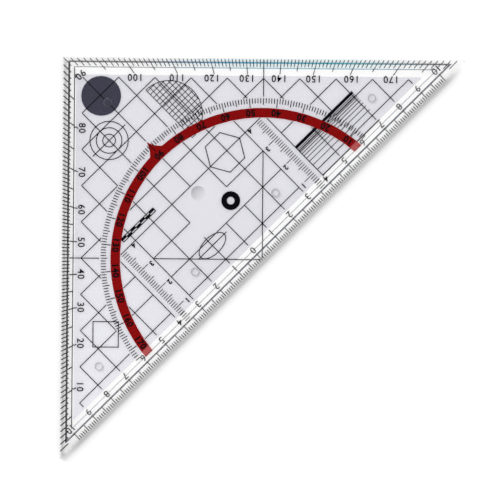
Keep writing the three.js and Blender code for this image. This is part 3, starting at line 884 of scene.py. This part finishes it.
def tick_tree():
    """Lays a wedge, edge upwards, along every tick point."""
    group = bpy.data.node_groups.new("sunk_ticks", "GeometryNodeTree")
    face = group.interface
    face.new_socket("Geometry", in_out="INPUT", socket_type="NodeSocketGeometry")
    face.new_socket("Tick width", in_out="INPUT", socket_type="NodeSocketFloat")
    face.new_socket("Groove depth", in_out="INPUT", socket_type="NodeSocketFloat")
    face.new_socket("Ink", in_out="INPUT", socket_type="NodeSocketMaterial")
    face.new_socket("Geometry", in_out="OUTPUT", socket_type="NodeSocketGeometry")
    tree = Tree(group)
    given = tree.add("NodeGroupInput").outputs
    block = tree.add("GeometryNodeMeshCube", None, {"Size": (1, 1, 1)}).outputs["Mesh"]
    at = tree.add("ShaderNodeSeparateXYZ", None, {
        "Vector": tree.add("GeometryNodeInputPosition").outputs["Position"]}).outputs
    narrowing = 0.5 - Number(tree, at["Z"])
    roof = tree.add("ShaderNodeCombineXYZ", None, {
        "X": at["X"], "Y": Number(tree, at["Y"]) * narrowing, "Z": at["Z"]}).outputs["Vector"]
    wedge = tree.add("GeometryNodeSetPosition", None, {"Geometry": block, "Position": roof})
    closed = tree.add("GeometryNodeMergeByDistance", None, {
        "Geometry": wedge.outputs["Geometry"], "Distance": MERGE_REACH}).outputs["Geometry"]

    def stored(name):
        return tree.add("GeometryNodeInputNamedAttribute", {"data_type": "FLOAT"}, {
            "Name": name}).outputs["Attribute"]

    turn = tree.add("ShaderNodeCombineXYZ", None, {"Z": stored("tick_angle")}).outputs["Vector"]
    size = tree.add("ShaderNodeCombineXYZ", None, {
        "X": stored("tick_length"), "Y": given["Tick width"], "Z": given["Groove depth"],
    }).outputs["Vector"]
    rows = tree.add("GeometryNodeInstanceOnPoints", None, {
        "Points": given["Geometry"], "Instance": closed, "Rotation": turn, "Scale": size})
    real = tree.add("GeometryNodeRealizeInstances", None, {
        "Geometry": rows.outputs["Instances"]}).outputs["Geometry"]
    inked = tree.add("GeometryNodeSetMaterial", None, {"Geometry": real, "Material": given["Ink"]})
    tree.add("NodeGroupOutput", None, {"Geometry": inked.outputs["Geometry"]})
    return group


def set_inputs(modifier, group, values):
    """Sets a Geometry Nodes modifier's inputs by the identifiers of their sockets."""
    for item in group.interface.items_tree:
        if item.in_out == "INPUT" and item.name in values:
            modifier[item.identifier] = values[item.name]


# Each scale's piece, its ticks and the setting that holds their width.
SCALES = (
    ("ruler_ticks", ruler_ticks, "ruler_width"),
    ("right_leg_ticks", right_leg_ticks, "right_width"),
    ("left_leg_ticks", left_leg_ticks, "left_width"),
    ("ring_ticks", ring_ticks, "ring_width"),
    ("ladder_ticks", ladder_ticks, "ladder_width"),
)


def drawn_lines(source_points, group, width, depth, ink):
    """A plain mesh of the wedges that the tree lays along the points."""
    source = scratch_object("points", source_points)
    modifier = source.modifiers.new("ticks", "NODES")
    modifier.node_group = group
    set_inputs(modifier, group, {"Tick width": width, "Groove depth": depth, "Ink": ink})
    mesh = evaluated_mesh(source)
    discard(source)
    return mesh


class SETSQUARE_OT_graduations(Operator):
    """Fills the sunk graduations of the ruler, the legs, the ring and the upright scales."""
    bl_idname = "set_square.graduations"
    bl_label = "Graduations"

    def execute(self, context):
        scales = settings().scales
        ink = printed_ink("graduation_ink", settings().ink.black)
        group = tick_tree()
        depth = scales.groove_depth / MM
        for name, ticks, width in SCALES:
            points = tick_points("points", ticks(scales), depth / 2 - TICK_DROP)
            mesh = drawn_lines(points, group, getattr(scales, width), scales.groove_depth, ink)
            mesh.name = name
            add_object(name, mesh, ink, "black_ink")
        return {"FINISHED"}


# Half-round patch of square mesh.

def patch_lines(scales):
    """The rim in short chords, the straight side, and the mesh trimmed to the half disc."""
    centre = Vector((PATCH_OFFSET, SCALE_HALF_LENGTH - PATCH_APEX_INSET))
    pitch = scales.mesh_pitch / MM
    turns = range(-90, 91, PATCH_BEND)
    bends = [centre + Vector(polar(PATCH_RADIUS, turn)) for turn in turns]
    yield from zip(bends, bends[1:])
    yield bends[0], bends[-1]
    reach = math.floor(PATCH_RADIUS / pitch)
    for i in range(-reach, reach + 1):
        chord = math.sqrt(PATCH_RADIUS ** 2 - (i * pitch) ** 2)
        yield centre + Vector((0, i * pitch)), centre + Vector((chord, i * pitch))
        if i > 0:
            yield centre + Vector((i * pitch, -chord)), centre + Vector((i * pitch, chord))


class SETSQUARE_OT_mesh_patch(Operator):
    """Prints the half-round patch of fine square mesh."""
    bl_idname = "set_square.mesh_patch"
    bl_label = "Mesh patch"

    def execute(self, context):
        scales = settings().scales
        ink = printed_ink("mesh_ink", settings().ink.black)
        points = tick_points("points", patch_lines(scales), PATCH_HEIGHT)
        mesh = drawn_lines(points, tick_tree(), scales.mesh_line, PATCH_THICKNESS * MM, ink)
        mesh.name = "mesh_patch"
        patch = add_object("mesh_patch", mesh, ink, "black_ink")
        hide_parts("hatch_patch")
        return {"FINISHED"}


# Numerals.

def numeral_mesh(text, growth, spacing):
    """Flat figures of unit height, centred on the origin, as a thin closed body."""
    curve = bpy.data.curves.new("numeral", "FONT")
    curve.body = text
    curve.align_x = "CENTER"
    curve.resolution_u = NUMERAL_CURVE_STEPS
    curve.offset = growth
    curve.space_character = spacing
    curve.extrude = NUMERAL_EXTRUSION
    source = scratch_object("numeral", curve)
    mesh = evaluated_mesh(source)
    discard(source)
    ys = [vertex.co.y for vertex in mesh.vertices]
    xs = [vertex.co.x for vertex in mesh.vertices]
    middle = Vector(((max(xs) + min(xs)) / 2, (max(ys) + min(ys)) / 2, 0))
    mesh.transform(Matrix.Scale(1 / (max(ys) - min(ys)), 4) @ Matrix.Translation(-middle))
    return mesh


def numerals_mesh(scale, labels, size):
    """All numerals of a scale in one mesh. A label is its text, plan place and turn in degrees."""
    height, growth, spacing = NUMERAL_STYLES[scale]
    joined = bmesh.new()
    for text, (x, y), degrees in labels:
        mesh = numeral_mesh(text, growth, spacing)
        turn = Euler((0, 0, math.radians(degrees))).to_matrix().to_4x4()
        fit = Matrix.Diagonal((size, size, NUMERAL_DEPTH * MM, 1))
        mesh.transform(Matrix.Translation(placed(x, y, height)) @ turn @ fit)
        joined.from_mesh(mesh)
        bpy.data.meshes.remove(mesh)
    mesh = bpy.data.meshes.new(scale)
    joined.to_mesh(mesh)
    joined.free()
    return mesh


def ruler_labels(look):
    for count in range(-10, 11):
        yield str(abs(count)), (10 * count, look.ruler_line / MM), 180


def leg_labels(look):
    yield "90", APEX_NUMERAL_PLACE, 180
    for degree, shift in LEG_SHIFTS.items():
        angle, distance = SIDES["right" if degree < 90 else "left"]
        reach = (distance - look.leg_line / MM) / math.cos(math.radians(degree - angle))
        to_tip = angle - 90 if degree < 90 else angle + 90
        place = Vector(polar(reach, degree)) + Vector(polar(shift, to_tip))
        yield str(180 - degree), place, angle + 90


def band_labels(look):
    radius = (band_outer_radius() + band_inner_radius()) / 2
    for degree in range(10, 180, 10):
        yield str(degree), polar(radius, degree), degree + 90


def ladder_labels(look):
    for hand in (-1, 1):
        for count in range(1, 5):
            place = (hand * look.ladder_line / MM, 10 * count - look.ladder_drop / MM)
            yield str(count), place, 180


class SETSQUARE_OT_numerals(Operator):
    """Prints the numerals of the ruler, the legs, the band and the upright scales."""
    bl_idname = "set_square.numerals"
    bl_label = "Numerals"

    def execute(self, context):
        look = settings().numerals
        inks = settings().ink
        black = printed_ink("numeral_ink", inks.black)
        soft = printed_ink("ruler_numeral_ink", inks.soft)
        rows = (
            ("ruler", ruler_labels(look), look.ruler_height, soft, "grey_ink"),
            ("leg", leg_labels(look), look.leg_height, black, "black_ink"),
            ("band", band_labels(look), look.band_height, black, "black_ink"),
            ("ladder", ladder_labels(look), look.ladder_height, black, "black_ink"),
        )
        for scale, labels, size, ink, slot_name in rows:
            mesh = numerals_mesh(scale, labels, size)
            add_object(scale + "_numerals", mesh, ink, slot_name)
        return {"FINISHED"}


# Ink films that come from the frame.

def dress(node_name, ink):
    """Gives a node of the frame its ink."""
    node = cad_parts[node_name]
    node.data.materials.clear()
    node.data.materials.append(ink)
    node.visible_shadow = False


def flat_disc(name, centre, radius, heights):
    """A thin disc between two heights in millimetres."""
    return stacked_rings(name, [disc_ring(centre, radius, height) for height in heights])


class SETSQUARE_OT_films(Operator):
    """Gives the printed grid, band, discs and drawings their inks."""
    bl_idname = "set_square.films"
    bl_label = "Printed films"

    def execute(self, context):
        inks = settings().ink
        black = printed_ink("grid_ink", inks.black)
        for name in BLACK_FILMS:
            dress(name, black)
        grey = printed_ink("grey_ink", inks.grey)
        dress("corner_disc", grey)
        foot = nub_places()[0]
        dot = flat_disc("foot_print", foot, PRINT_RADIUS, PRINT_HEIGHTS)
        add_object("foot_print", dot, grey, "grey_ink")
        film = (BAND_LOW[2] - UNDERSIDE) / MM
        collar = flat_disc("foot_collar", foot, COLLAR_RADIUS, [n * film for n in COLLAR_LAYERS])
        hole = flat_disc("hole", foot, COLLAR_HOLE_RADIUS, [n * film for n in COLLAR_HOLE_LAYERS])
        add_object("foot_collar", combined(collar, [hole], "DIFFERENCE"), grey, "grey_ink")
        red = printed_ink("red_ink", inks.red, inks.pale_red, FACET_LIT_HEIGHT)
        dress("protractor_band", red)
        return {"FINISHED"}


# Studio.

def floor_material(name, rgb):
    """Plain matt paper."""
    shader = Shader(name)
    grain = shader.noise(scale=1500.0, detail=3.0)
    body = shader.principled({
        "Base Color": opaque(rgb),
        "Roughness": PAPER_ROUGHNESS + PAPER_UNEVENNESS * grain,
        "Specular IOR Level": 0.0,
    })
    return shader.finish(body.outputs["BSDF"])


class SETSQUARE_OT_studio(Operator):
    """Lays the floor and sets the lamp, the all-round light and the camera."""
    bl_idname = "set_square.studio"
    bl_label = "Studio"

    def execute(self, context):
        scene = context.scene
        look = settings().studio
        signs = ((-1, -1), (1, -1), (1, 1), (-1, 1))
        mesh = bpy.data.meshes.new("floor")
        mesh.from_pydata([(FLOOR_REACH * x, FLOOR_REACH * y, 0) for x, y in signs], [], [(0, 1, 2, 3)])
        mesh.materials.append(floor_material("paper_floor", look.floor))
        floor = scratch_object("floor", mesh)

        lamp = bpy.data.lights.new("key_light", "SUN")
        lamp.energy = look.sun_strength
        lamp.angle = look.sun_spread
        sun = scratch_object("key_light", lamp)
        sun.rotation_euler = (look.sun_elevation - math.pi / 2, 0, 0)
        sun.location = LAMP_PLACE

        world = bpy.data.worlds.new("studio")
        world.use_nodes = True
        world.node_tree.nodes.clear()
        sky = Tree(world.node_tree)
        up = Number(sky, sky.add("ShaderNodeSeparateXYZ", None, {
            "Vector": sky.add("ShaderNodeTexCoord").outputs["Generated"]}).outputs["Z"])
        low, high = (
            sky.add("ShaderNodeBackground", None, {"Strength": strength}).outputs["Background"]
            for strength in (look.horizon_strength, look.zenith_strength))
        dome = sky.add("ShaderNodeMixShader", None, {0: up * up, 1: low, 2: high})
        sky.add("ShaderNodeOutputWorld", None, {"Surface": dome.outputs["Shader"]})
        scene.world = world

        camera = bpy.data.cameras.new("camera")
        camera.lens = look.lens
        camera.sensor_width = SENSOR_WIDTH
        camera.clip_start = CLIP_START
        view = scratch_object("camera", camera)
        distance = look.frame_width * camera.lens / camera.sensor_width
        middle = placed(look.aim[0] / MM, look.aim[1] / MM)
        view.location = middle + Vector((0, 0, distance))
        view.rotation_euler = (0, 0, look.turn)
        scene.camera = view
        scene.view_settings.view_transform = "Standard"
        return {"FINISHED"}


class SETSQUARE_PT_panel(Panel):
    """Lists the steps that dress the set square."""
    bl_idname = "SETSQUARE_PT_panel"
    bl_label = "Set square"
    bl_space_type = "VIEW_3D"
    bl_region_type = "UI"
    bl_category = "Set square"

    def draw(self, context):
        for operator in OPERATORS:
            self.layout.operator(operator.bl_idname)


OPERATORS = (
    SETSQUARE_OT_plate, SETSQUARE_OT_graduations, SETSQUARE_OT_mesh_patch, SETSQUARE_OT_numerals,
    SETSQUARE_OT_films, SETSQUARE_OT_studio,
)
CLASSES = (
    PlateSettings, ScaleSettings, NumeralSettings, InkSettings, StudioSettings, SetSquareSettings,
    *OPERATORS, SETSQUARE_PT_panel,
)


def register():
    for made in CLASSES:
        bpy.utils.register_class(made)
    bpy.types.Scene.set_square = PointerProperty(type=SetSquareSettings)


def unregister():
    del bpy.types.Scene.set_square
    for made in reversed(CLASSES):
        bpy.utils.unregister_class(made)


def main():
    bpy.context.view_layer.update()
    register()
    bpy.ops.set_square.plate()
    bpy.ops.set_square.graduations()
    bpy.ops.set_square.mesh_patch()
    bpy.ops.set_square.numerals()
    bpy.ops.set_square.films()
    bpy.ops.set_square.studio()


if __name__ == "__main__":
    main()
